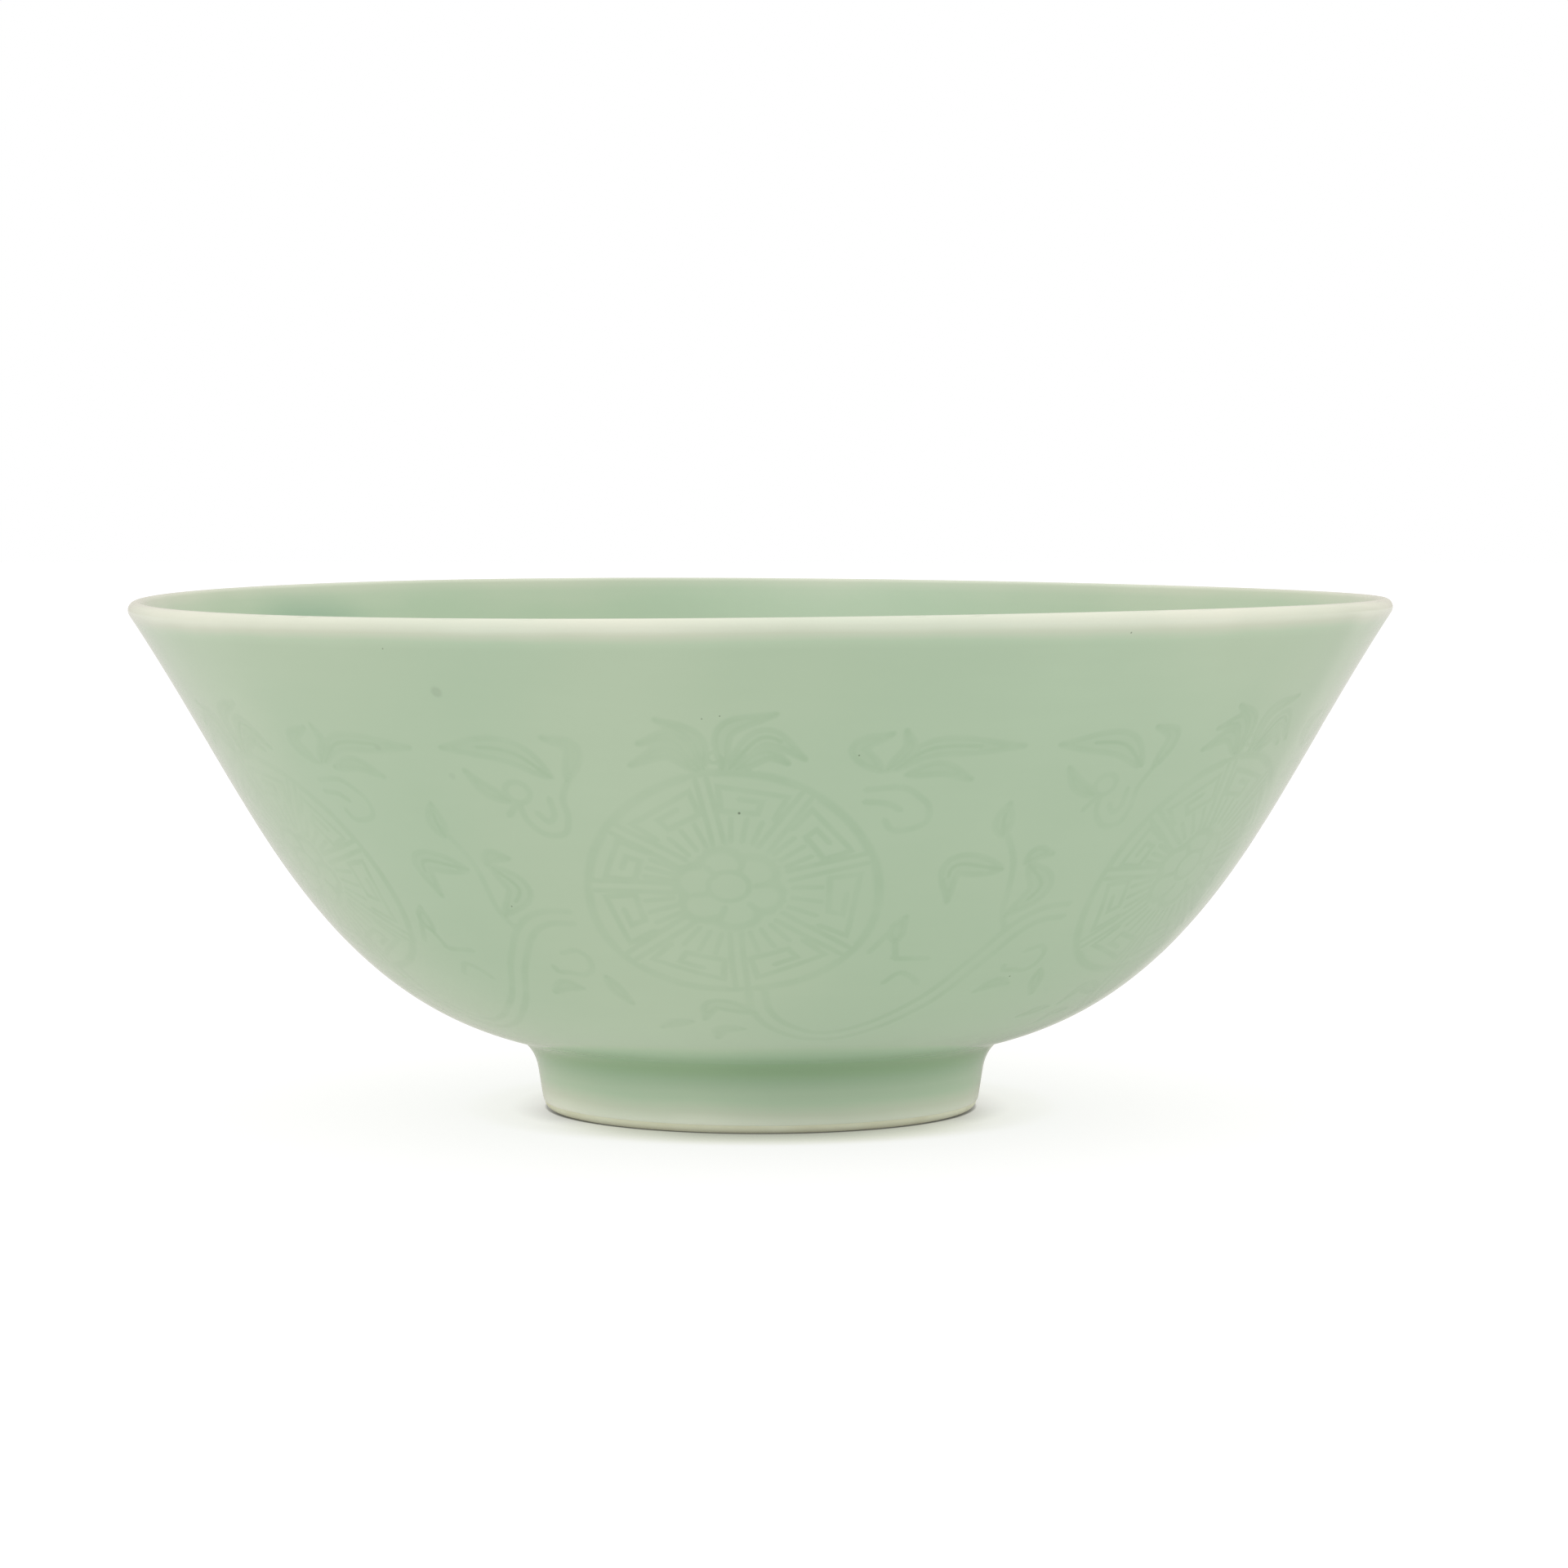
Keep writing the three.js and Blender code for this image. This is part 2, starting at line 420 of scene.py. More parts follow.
def add_step(piece, tree, finish, values):
    """Puts a tree on a piece as its next step of making, with the values of its named inputs."""
    step = piece.modifiers.new(tree.name, "NODES")
    step.node_group = tree
    sockets = {item.name: item.identifier for item in tree.interface.items_tree if item.in_out == "INPUT"}
    for name, value in {**values, "Finish": finish}.items():
        step[sockets[name]] = value


def add_object(name, data):
    """Puts a new object in the scene."""
    made = bpy.data.objects.new(name, data)
    bpy.context.scene.collection.objects.link(made)
    return made


def add_mesh(name, points, edges, faces, **numbers):
    """An object of points, edges and faces, with numbers carried at each point."""
    mesh = bpy.data.meshes.new(name)
    mesh.from_pydata(points.tolist(), edges, faces)
    for label, values in numbers.items():
        mesh.attributes.new(label, "FLOAT", "POINT").data.foreach_set("value", values)
    return add_object(name, mesh)


def line_object(name, lines, **numbers):
    """An object of open lines through points, with numbers carried at each point."""
    starts = np.cumsum([0] + [len(line) for line in lines[:-1]])
    edges = [(start + i, start + i + 1) for start, line in zip(starts, lines) for i in range(len(line) - 1)]
    numbers = {label: np.concatenate(values) for label, values in numbers.items()}
    return add_mesh(name, np.vstack(lines), edges, [], **numbers)


def profile_object(name, points, coat, finished):
    """A piece that starts as its profile: the coat is carried in millimetres."""
    upright = np.column_stack([points[:, 0], np.zeros(len(points)), points[:, 1]])
    return line_object(name, [upright], coat=[coat * 1000], finished=[finished])


def finish_mesh(piece):
    """Ends the making: the shaped surface becomes the piece's own plain mesh."""
    graph = bpy.context.evaluated_depsgraph_get()
    shaped = piece.evaluated_get(graph)
    mesh = bpy.data.meshes.new_from_object(shaped, preserve_all_data_layers=True, depsgraph=graph)
    piece.modifiers.clear()
    piece.data = mesh
    mesh.name = piece.name
    mesh.set_sharp_from_angle(angle=math.radians(sharp_angle))


def new_material(name, **values):
    """A material whose main shader has the given uniform values on its own sockets."""
    material = bpy.data.materials.new(name)
    material.use_nodes = True
    shader = material.node_tree.nodes["Principled BSDF"]
    for label, value in values.items():
        shader.inputs[label.replace("_", " ")].default_value = value
    return material, material.node_tree, shader


def srgb(red, green, blue):
    """A colour given as it looks on screen, 0 to 255, as the linear colour that a material takes."""
    shares = [value / 255 for value in (red, green, blue)]
    return (*[s / 12.92 if s <= 0.04045 else ((s + 0.055) / 1.055) ** 2.4 for s in shares], 1.0)


def noise(tree, scale, detail=2.0, roughness=0.5, stretch=(1, 1, 1)):
    """Soft noise about 0.5 over the piece, its scale in patches per metre."""
    where = add_node(tree, "TexCoord", output="Object")
    where = add_node(tree, "Mapping", {"Vector": where, "Scale": stretch})
    return add_node(tree, "TexNoise", {
        "Vector": where, "Scale": scale, "Detail": detail, "Roughness": roughness}, "Fac")


def ramp(value, stops, interpolation="LINEAR"):
    """Colours blended along a value from 0 to 1."""
    colour = add_node(value.id_data, "ValToRGB", {"Fac": value}, "Color")
    blend = colour.node.color_ramp
    blend.interpolation = interpolation
    while len(blend.elements) < len(stops):
        blend.elements.new(1.0)
    for element, (place, shade) in zip(blend.elements, stops):
        element.position = place
        element.color = shade
    return colour


def map_range(value, from_low, from_high, to_low=0.0, to_high=1.0, interpolation="LINEAR"):
    """Carries a value from one range to another, held at its ends."""
    return add_node(value.id_data, "MapRange", {
        "Value": value, "From Min": from_low, "From Max": from_high, "To Min": to_low, "To Max": to_high,
    }, "Result", interpolation_type=interpolation)


def grain(tree, shader, relief, strength, distance):
    """Gives a finish its fine relief."""
    bump = add_node(tree, "Bump", {"Height": relief, "Strength": strength, "Distance": distance})
    tree.links.new(bump, shader.inputs["Normal"])


def fired_clay():
    """Unglazed porcelain: dense, matt and off-white, with a warm flush where it met the kiln's shelf."""
    material, tree, shader = new_material("bare_fired_porcelain", Roughness=0.62, Specular_IOR_Level=0.35)
    flush = ramp(noise(tree, 160, 4), [(0.35, srgb(224, 226, 200)), (0.65, srgb(217, 217, 188))])
    tree.links.new(flush, shader.inputs["Base Color"])
    grain(tree, shader, noise(tree, 5200, 3), strength=0.25, distance=0.00004)
    return material


turning = turning_tree()
kiln = kiln_tree()
kiln_values = {"Height": height, "Saddle Across": 0.000356, "Saddle Along": 0.000135, "Tilt": 0.000147}


# The carving: six roundels of key fret round a flower, joined by a scroll of leaves and stems, cut with a
# fine gouge into the leather-hard wall, under a third of a millimetre deep, so the glaze almost fills it. It
# is drawn in degrees round the bowl from a roundel's middle and millimetres up the wall.
roundel_count = 6
first_roundel = -3.05
half_repeat = 180 / roundel_count
roundel_rise = 43.15
roundel_half_width = 18.8
roundel_half_height = 17.9
band_foot = 10.5
band_top = 72.5
spoke_angles = (101, 57, 16, -39, -88, -138, -181, -213)
clay_cut_depth = 0.00025
glaze_dip_depth = 0.00003

fine_cut = 0.72
ring_cut = 1.0
stem_cut = 0.78
stem_half_gap = 1.05
spoke_cut = 0.6
fret_cut = 0.65
rib_cut = 0.58
leaf_cut = 0.7
vein_cut = 0.45
vein_length = 0.7
veined_from = 1.1
leaf_inset = 0.9
leaf_swell = 0.8

cut_spacing = 0.5
midrib_spacing = 0.6
corner_spacing = 1.3
sharpest_mitre = 0.4
ground_spacing = 1.3
ground_turn = 1.5
edge_turn = 1.0
clear_of_cuts = 0.45
still_near_ends = 4
sheet_margin = 2
same_place = 0.01
band_seam_gap = 0.000006
stretch_points = 200
hollow_margin = 0.05

wall_up = wall[::-1]
rise_up = run_along(wall_up) * 1000
strokes = []
midribs = []


def radius_at(rise):
    """Radius of the wall in millimetres at a rise above its foot."""
    return np.interp(rise, rise_up, wall_up[:, 0]) * 1000


def on_wall(drawn):
    """Places drawn points on the wall."""
    azimuth = np.radians(drawn[:, 0] + first_roundel)
    radius = radius_at(drawn[:, 1]) / 1000
    level = np.interp(drawn[:, 1], rise_up, wall_up[:, 1])
    return np.column_stack([radius * np.sin(azimuth), -radius * np.cos(azimuth), level])


def true_steps(points):
    """The steps of a drawn line in millimetres both ways."""
    middle = (points[1:, 1] + points[:-1, 1]) / 2
    return np.diff(points, axis=0) * np.column_stack([np.radians(radius_at(middle)), np.ones(len(middle))])


def stepped(points, spacing):
    """A drawn line with its points at even steps of about the given spacing."""
    run = np.concatenate([[0.0], np.cumsum(np.linalg.norm(true_steps(points), axis=1))])
    return points_at(np.linspace(0, run[-1], max(1, math.ceil(run[-1] / spacing)) + 1), run, points)


def flowing(points, steps=10):
    """A smooth line through a few points, as a hand draws it."""
    points = np.array(points, float)
    padded = np.vstack([2 * points[0] - points[1], points, 2 * points[-1] - points[-2]])
    t = np.linspace(0, 1, steps, endpoint=False)[:, None]
    parts = []
    for before, start, end, after in zip(padded, padded[1:], padded[2:], padded[3:]):
        parts.append(0.5 * (
            2 * start + (end - before) * t + (2 * before - 5 * start + 4 * end - after) * t**2
            + (3 * start - before - 3 * end + after) * t**3))
    return np.vstack([*parts, points[-1:]])


def moved_aside(points, across):
    """A drawn line moved to its left by a distance in millimetres, its corners mitred."""
    way = true_steps(points)
    way /= np.linalg.norm(way, axis=1)[:, None]
    closed = np.allclose(points[0], points[-1])
    before = np.vstack([way[-1:] if closed else way[:1], way])
    after = np.vstack([way, way[:1] if closed else way[-1:]])
    mean = (before + after) / 2
    mitre = np.maximum((mean**2).sum(axis=1), sharpest_mitre)
    offset = np.column_stack([-mean[:, 1], mean[:, 0]]) * np.reshape(across, (-1, 1)) / mitre[:, None]
    offset[:, 0] /= np.radians(radius_at(points[:, 1]))
    return points + offset


def cut(points, half_width=fine_cut):
    """One flowing cut of the gouge."""
    strokes.append((stepped(np.array(points, float), cut_spacing), half_width))


def curl(*points):
    """A flowing cut through a few points."""
    cut(flowing(points))


def straight_cut(points, half_width=fine_cut):
    """A cut made of straight runs that keep their corners."""
    points = np.array(points, float)
    runs = [stepped(points[i:i + 2], corner_spacing) for i in range(len(points) - 1)]
    strokes.append((end_to_end(*runs), half_width))


def cut_pair(middle_line, aside, half_width):
    """Two cuts that run along either side of a line."""
    for side in (aside, -aside):
        cut(moved_aside(middle_line, side), half_width)


def leaf(base, bend, tip, half_width):
    """A leaf: two cuts that meet at its tip, a vein, and a shallow hollow between them."""
    midrib = stepped(flowing([base, bend, tip], steps=12), midrib_spacing)
    swell = half_width * np.sin(np.pi * np.linspace(0, 1, len(midrib)) ** leaf_swell)
    cut_pair(midrib, swell * leaf_inset, leaf_cut)
    if half_width > veined_from:
        cut(midrib[: int(len(midrib) * vein_length)], vein_cut)
    midribs.append((midrib, half_width))


def in_roundel(points):
    """Places points given as angle in degrees and distance in millimetres from the roundel's middle."""
    angle, reach = np.radians([p[0] for p in points]), np.array([p[1] for p in points], float)
    across = reach * np.cos(angle) * roundel_half_width / roundel_half_height
    rise = roundel_rise + reach * np.sin(angle)
    return np.column_stack([np.degrees(across / radius_at(rise)), rise])


def draw_roundel():
    """The ring, eight pairs of spokes, a key fret and three short cuts in each bay, and the flower."""
    circle = np.arange(0, 361, 4)
    cut(in_roundel([(angle, roundel_half_height) for angle in circle]), ring_cut)
    flower_turn = 101
    petals = 6
    valley_reach, petal_swell, heart_reach = 4.8, 2.0, 2.5
    flower_turned, flower_flatness, heart_lift = 0.4, 0.92, 0.6
    round_flower = np.arange(0, 361, 2.5)
    petal = np.sqrt(abs(np.cos(np.radians(petals / 2 * (round_flower - flower_turn)))))
    outline = in_roundel(list(zip(round_flower, valley_reach + petal_swell * petal)))
    heart = in_roundel([(angle, heart_reach) for angle in circle])
    for flower_line in (outline, heart):
        flower_line[:, 0] -= flower_turned
        flower_line[:, 1] = roundel_rise + (flower_line[:, 1] - roundel_rise) * flower_flatness
    heart[:, 1] += heart_lift
    cut(outline, ring_cut)
    cut(heart, spoke_cut)
    for i in range(petals):
        valley = flower_turn + (i + 0.5) * 360 / petals
        straight_cut(in_roundel([(valley, 3.0), (valley, 4.7)]), leaf_cut)

    # Turns of a fret: share of the way from its bay's middle to a spoke, and distance from the middle.
    fret = [(0.7, 11.9), (0.7, 15.8), (-0.7, 15.8), (-0.7, 12.1), (0.24, 12.1), (0.24, 13.9), (-0.28, 13.9)]
    spoke_gap = 0.75
    spokes = [*spoke_angles, spoke_angles[0] - 360]
    for i, (spoke, next_spoke) in enumerate(zip(spokes, spokes[1:])):
        middle_line = in_roundel([(spoke, 7.2), (spoke, 12), (spoke, 17.2)])
        straight_cut(moved_aside(middle_line, spoke_gap), spoke_cut)
        straight_cut(moved_aside(middle_line, -spoke_gap), spoke_cut)
        middle, half_bay = (spoke + next_spoke) / 2, (spoke - next_spoke) / 2
        hand = 1 if i % 2 else -1
        straight_cut(in_roundel([(middle + hand * side * half_bay, reach) for side, reach in fret]), fret_cut)
        for side in (-0.45, 0, 0.45):
            angle = middle + side * half_bay
            straight_cut(in_roundel([(angle, 7.4), (angle, 11.0)]), rib_cut)


def draw_scroll():
    """The leaves, volutes and stems between two roundels."""
    # Palmette and its pearl on top of the roundel.
    leaf((-2.2, 61.6), (-2.9, 66.2), (-6.4, 68.9), 0.9)
    leaf((-2.6, 61.4), (-4.6, 66.3), (-8.2, 65.4), 1.0)
    leaf((-3, 61.3), (-5.6, 64.2), (-9.2, 62.2), 0.9)
    leaf((-0.4, 61.6), (0, 67.3), (4.4, 69.7), 1.0)
    leaf((0.2, 61.6), (3.4, 66.4), (7.2, 63), 1.2)
    leaf((0.9, 61.5), (3.6, 63.8), (5.6, 62.4), 0.8)
    pearl = np.radians(np.arange(0, 361, 20))
    cut(np.column_stack([-1.2 + 0.6 * np.cos(pearl), 63.3 + 0.8 * np.sin(pearl)]), vein_cut)

    # Left of the roundel's shoulder: three leaves over a volute.
    leaf((-17.2, 60.3), (-21.2, 64.2), (-28, 64.2), 1.8)
    leaf((-15.6, 59.8), (-14.6, 64.6), (-17.3, 66.2), 1.0)
    leaf((-22.2, 56.4), (-24.6, 58.2), (-26.2, 60.8), 0.8)
    cut(np.column_stack([-21.1 + 1.3 * np.cos(pearl), 57.9 + 1.6 * np.sin(pearl)]), leaf_cut)
    curl(
        (-22.8, 54.2), (-21.4, 56), (-20.9, 53.5), (-19.4, 51.5), (-17.2, 51.6), (-16.4, 54), (-16.5, 57),
        (-15.7, 59.5))
    curl((-19.6, 54.8), (-18.6, 53.4), (-17.8, 54.5), (-17.9, 57))

    # Right of the shoulder: four leaves over a volute.
    leaf((14.6, 61.2), (12.1, 64.6), (15, 66.6), 1.0)
    leaf((15.1, 61.3), (16.8, 64.3), (16.2, 67), 0.8)
    leaf((15.8, 61.4), (19.6, 64.5), (28.2, 64.2), 1.3)
    leaf((17, 60.6), (20.4, 61.4), (23.6, 59.6), 0.9)
    curl(
        (13.3, 58.5), (16.8, 58.7), (18.8, 57.1), (19.8, 55.6), (19.7, 53.4), (18.1, 52.4), (16.3, 52.4),
        (15.5, 53.9))
    curl((13.3, 56.7), (15.5, 56.4), (16.9, 55.4))

    # Bud on its sprig, midway to the next roundel.
    leaf((28.6, 50.5), (28.2, 53), (28.4, 55.6), 1.3)
    curl((-26.8, 35.2), (-28.2, 38.5), (-28.6, 42.5), (-29.2, 46.5), (-30.6, 50), (-31.6, 52))
    leaf((33, 45.8), (35.5, 42), (32.3, 37.6), 1.7)
    leaf((32.5, 46), (33.5, 47.6), (35.5, 47.4), 0.9)
    leaf((29.8, 45.3), (24, 46.2), (24.3, 40.6), 1.6)

    # Main stem, a pair of cuts, and the curl and leaves under it.
    stem = flowing([
        (-57.6, 25.2), (-57, 20.5), (-54.5, 16.6), (-50, 13.7), (-45.5, 13.4), (-41.3, 15), (-37.6, 17.6),
        (-34, 21.2), (-31.6, 24.8), (-29.8, 28.2), (-27.9, 31.4), (-26.3, 34.2), (-24.2, 36.6),
        (-21.8, 37.8), (-18.9, 38)])
    cut_pair(stepped(stem, midrib_spacing), stem_half_gap, stem_cut)
    curl(
        (-22, 31.3), (-19.9, 32), (-18.6, 30.7), (-18.8, 28.6), (-20.2, 27.4), (-22.2, 27.7), (-23.6, 27.7),
        (-24.1, 28.7))
    leaf((-21.4, 24.6), (-23.8, 25), (-26.2, 23.2), 0.9)
    leaf((-17.2, 27.3), (-16.3, 24.6), (-14.9, 21.8), 0.8)

    # Small leaf, ties and arch at the roundel's right flank.
    leaf((19.2, 33.8), (19.1, 36), (19.8, 38.2), 1.0)
    straight_cut([(17.9, 35), (16.3, 32)])
    straight_cut([(19.3, 33.4), (19.8, 31)])
    straight_cut([(19.6, 30.8), (24.2, 30.8)])
    curl((19.3, 26), (21, 28), (22.9, 27.2), (24.2, 25.7))

    # Short stalk and leaves under the roundel.
    straight_cut([(1.5, 24.6), (1.5, 20.4)])
    leaf((2.2, 19.8), (-3.2, 21.8), (-5, 18), 1.1)
    leaf((0.5, 15.5), (-2.8, 15.3), (-3.8, 12.6), 0.8)
    leaf((-7, 17.4), (-9.5, 17), (-12.3, 15.6), 0.8)


def one_repeat():
    """A sixth of the carved band as a flat sheet: every cut has points along its bottom and both its edges,
    so that it is crisp, and the plain ground between has few. It is drawn in millimetres to be divided."""
    scale = math.radians(radius_at(roundel_rise))
    places, links, bottoms = [], [], []

    def add_line(points):
        """Adds a line that the sheet has edges along."""
        links.extend((len(places) + i, len(places) + i + 1) for i in range(len(points) - 1))
        places.extend(points.tolist())

    def past_end(end, before, half_width):
        """A point as far past a cut's end as the cut is wide to each side."""
        return end - (before - end) * half_width / np.linalg.norm(true_steps(np.array([end, before])))

    for line, half_width in strokes:
        for shift in (-2 * half_repeat, 0, 2 * half_repeat):
            drawn = line + [shift, 0]
            reach = half_repeat + sheet_margin
            if drawn[:, 0].min() > reach or drawn[:, 0].max() < -reach:
                continue
            left, right = moved_aside(drawn, half_width), moved_aside(drawn, -half_width)
            add_line(drawn)
            if np.allclose(drawn[0], drawn[-1]):
                add_line(left)
                add_line(right)
            else:
                start = past_end(drawn[0], drawn[1], half_width)
                end = past_end(drawn[-1], drawn[-2], half_width)
                add_line(np.vstack([start, left, end, right[::-1], start]))
            bottoms.append(np.column_stack([drawn, np.full(len(drawn), half_width)]))
    bottoms = np.vstack(bottoms)

    rises = np.linspace(band_foot, band_top, round((band_top - band_foot) / ground_spacing) + 1)
    fine = np.linspace(-half_repeat, half_repeat, round(2 * half_repeat / edge_turn) + 1)
    for rise in (band_foot, band_top):
        add_line(np.column_stack([fine, np.full(len(fine), rise)]))
    for side in (-half_repeat, half_repeat):
        add_line(np.column_stack([np.full(len(rises), side), rises]))
    turns = np.linspace(-half_repeat, half_repeat, round(2 * half_repeat / ground_turn) + 1)[1:-1]
    ground = np.array([(turn, rise) for rise in rises[1:-1] for turn in turns])
    across = (ground[:, None, 0] - bottoms[None, :, 0]) * np.radians(radius_at(ground[:, 1]))[:, None]
    apart = np.hypot(across, ground[:, None, 1] - bottoms[None, :, 1]) - bottoms[None, :, 2]
    places.extend(ground[apart.min(axis=1) > clear_of_cuts].tolist())

    points, _, faces, *_ = geometry.delaunay_2d_cdt(
        [Vector((turn * scale, rise)) for turn, rise in places], links, [], 0, same_place)
    points = np.array([tuple(point) for point in points])
    faces = np.array(faces)
    across, rise = points[faces].mean(axis=1).T
    faces = faces[(abs(across) < half_repeat * scale) & (rise > band_foot) & (rise < band_top)]
    used, renumbered = np.unique(faces, return_inverse=True)
    points = points[used]
    share = (points[:, 1] - band_foot) / (band_top - band_foot)
    from_ends = np.minimum(points[:, 1] - band_foot, band_top - points[:, 1])
    return add_mesh(
        "one_repeat", np.column_stack([np.radians(points[:, 0] / scale), share, np.zeros(len(points))]),
        [], renumbered.reshape(-1, 3).tolist(), loose=smooth_step(from_ends / still_near_ends))


def each_step(tree, given, axis):
    """How far round the bowl each repeat stands, as one part of a vector."""
    index = add_node(tree, "InputIndex")
    step = math_node("DIVIDE", times(index, math.tau), given["Repeats"])
    return add_node(tree, "CombineXYZ", {axis: step})


def repeated(tree, given, drawing, places, turns):
    """A drawing at each repeat's place and turn, as one plain shape."""
    one = add_node(tree, "ObjectInfo", {"Object": drawing}, "Geometry")
    points = add_node(tree, "Points", {"Count": given["Repeats"], **places})
    around = add_node(tree, "InstanceOnPoints", {"Points": points, "Instance": one, **turns})
    return add_node(tree, "RealizeInstances", {"Geometry": around})


def band_tree():
    """Lays the repeats of the sheet round the wall, on the wall's own line, and joins them to the rest."""
    tree, given = new_tree("lay_the_carved_band", {
        "Sheet": "Object", "Wall": "Object", "Repeats": "Int", "First": "Float"})
    flat = repeated(tree, given, given["Sheet"], {"Position": each_step(tree, given, "X")}, {})
    drawn = parts_of(position(tree))
    wall_line = add_node(tree, "ObjectInfo", {"Object": given["Wall"]}, "Geometry")
    wall_line = add_node(tree, "MeshToCurve", {0: wall_line})
    found = add_node(
        tree, "SampleCurve", {0: wall_line, "Value": carried(tree, "coat"), "Factor": drawn["Y"]},
        None, mode="FACTOR", use_all_curves=False, data_type="FLOAT")
    flat = marked(flat, "coat", found["Value"])
    flat = marked(flat, "finished", 1.0)
    laid = around_axis(found["Position"], plus(drawn["X"], given["First"]))
    joined = add_node(tree, "JoinGeometry", {0: moved(flat, Position=laid)})
    tree.links.new(given["Geometry"], joined.node.inputs[0])
    closed = merged(joined, band_seam_gap)
    return end_tree(tree, given, add_node(tree, "SetShadeSmooth", {"Geometry": closed}))


def carving_tree():
    """Cuts the drawing, repeated round the bowl, into the finished side. Each point keeps how deep it lies in
    a cut and in a leaf's hollow, from 0 to 1, for the glaze to pool there. A hand's wander goes over it."""
    tree, given = new_tree("carve_the_wall", {
        "Cuts": "Object", "Hollows": "Object", "Repeats": "Int", "Depth": "Float", "Hollow Depth": "Float",
        "Hand Wander": "Float", "Seed": "Float"})
    place = position(tree)
    normal = add_node(tree, "InputNormal")
    turn = each_step(tree, given, "Z")

    def scaled(vector, factor):
        """A vector made longer or shorter."""
        return add_node(tree, "VectorMath", {0: vector, "Scale": factor}, operation="SCALE")

    def flattened(vector):
        """What is left of a vector along the surface."""
        outward = vector_node("DOT_PRODUCT", vector, normal, output="Value")
        return vector_node("SUBTRACT", vector, scaled(normal, outward))

    def depth_share(drawing):
        """How far into a line's width each point lies, from 0 at its edge to 1 on the line."""
        lines = repeated(tree, given, drawing, {}, {"Rotation": turn})
        nearest = add_node(tree, "Proximity", {0: lines}, "Position", target_element="EDGES")
        away = flattened(vector_node("SUBTRACT", place, nearest))
        number = add_node(tree, "SampleNearest", {"Geometry": lines}, "Index", domain="POINT")
        half_width = sampled(lines, carried(tree, "half_width"), number)
        return map_range(vector_node("LENGTH", away, output="Value"), half_width, 0.0)

    shape = given["Geometry"]
    for name, drawing in (("cut", given["Cuts"]), ("hollow", given["Hollows"])):
        shape = marked(shape, name, times(depth_share(drawing), carried(tree, "finished")))
    depth = plus(
        times(carried(tree, "cut"), given["Depth"]),
        times(carried(tree, "hollow"), given["Hollow Depth"]))
    wander = add_node(tree, "TexNoise", {
        "Vector": place, "W": given["Seed"], "Scale": 60.0, "Detail": 1.0}, "Color", noise_dimensions="4D")
    wander = flattened(vector_node("SUBTRACT", wander, (0.5, 0.5, 0.5)))
    wander = scaled(wander, times(given["Hand Wander"], carried(tree, "loose")))
    offset = vector_node("ADD", scaled(normal, times(depth, -1.0)), wander)
    return end_tree(tree, given, moved(shape, Offset=offset))


def hollow_width(midrib, half_width):
    """Half the width of a leaf's hollow, in metres, along its midrib."""
    swell = np.sin(np.pi * np.linspace(0.02, 0.98, len(midrib)) ** leaf_swell)
    return (half_width * swell + hollow_margin) / 1000


draw_roundel()
draw_scroll()
cut_lines = line_object(
    "gouge_cuts", [on_wall(line) for line, _ in strokes],
    half_width=[np.full(len(line), half_width / 1000) for line, half_width in strokes])
hollow_lines = line_object(
    "leaf_hollows", [on_wall(line) for line, _ in midribs],
    half_width=[hollow_width(*midrib) for midrib in midribs])
sheet = one_repeat()
band = band_tree()
carving = carving_tree()
first_turn = math.radians(first_roundel)


def turn_and_carve(piece, finish, wall_line, depth):
    """Turns a piece from its profile, lays the carved band on its wall, carves it and fires it."""
    add_step(piece, turning, finish, {"Columns": columns, "Start": first_turn})
    add_step(piece, band, finish, {
        "Sheet": sheet, "Wall": wall_line, "Repeats": roundel_count, "First": first_turn})
    add_step(piece, carving, finish, {
        "Cuts": cut_lines, "Hollows": hollow_lines, "Repeats": roundel_count, "Depth": depth,
        "Hollow Depth": depth / 2, "Hand Wander": 0.0012, "Seed": 3.0})
    add_step(piece, kiln, finish, kiln_values)
    finish_mesh(piece)


def wall_with_band(spacing, band_spacing):
    """A way to space rows down the wall that has rows at the carved band's own two ends."""
    def rows(line):
        """The wall in three stretches, above, in and below the band, each at its own spacing."""
        run = run_along(line)
        ends = [0.0, run[-1] - band_top / 1000, run[-1] - band_foot / 1000, run[-1]]
        return end_to_end(*[
            spaced(points_at(np.linspace(start, end, stretch_points), run, line), step)
            for start, end, step in zip(ends, ends[1:], (spacing, band_spacing, spacing))])
    return rows


def split_at_band(points):
    """The numbers of the rows at the top and the foot of the carved band."""
    run = run_along(points)
    foot_run = run[np.argmin(np.linalg.norm(points - wall_foot, axis=1))]
    rise = (foot_run - run) * 1000
    return np.argmin(abs(rise - band_top)), np.argmin(abs(rise - band_foot))


def wall_line_object(name, points, coat, top, foot):
    """The line of the wall under the carved band, from its foot up."""
    rows = slice(top, foot + 1)
    return profile_object(name, points[rows][::-1], coat[rows][::-1], np.ones(foot + 1 - top))


body_outside = outside_rows(lip_count=8, wall_steps=wall_with_band(0.0018, 0.001), foot_spacing=0.001)
outside_clay = clay_under(*body_outside)
inside_clay = clay_under(*inside_rows(lip_count=6, spacing=0.004, floor_spacing=0.003))
recess_clay = clay_under(*recess_rows(spacing=0.002))
clay_foot_radius = foot_radius - foot_end_coat
clay_recess_radius = foot_radius - foot_ring_width + base_coat
foot_edge = np.vstack([
    arc([clay_foot_radius - foot_outer_round, foot_outer_round], foot_outer_round, 0, -90, count=8),
    arc([clay_recess_radius + foot_edge_round, foot_edge_round], foot_edge_round, -90, -180, count=6)])
top, foot = split_at_band(body_outside[0])
body_profile = np.vstack([
    outside_clay[top:0:-1], inside_clay, recess_clay[::-1], foot_edge[::-1], outside_clay[:foot - 1:-1]])
uncoated = np.zeros(len(body_profile))
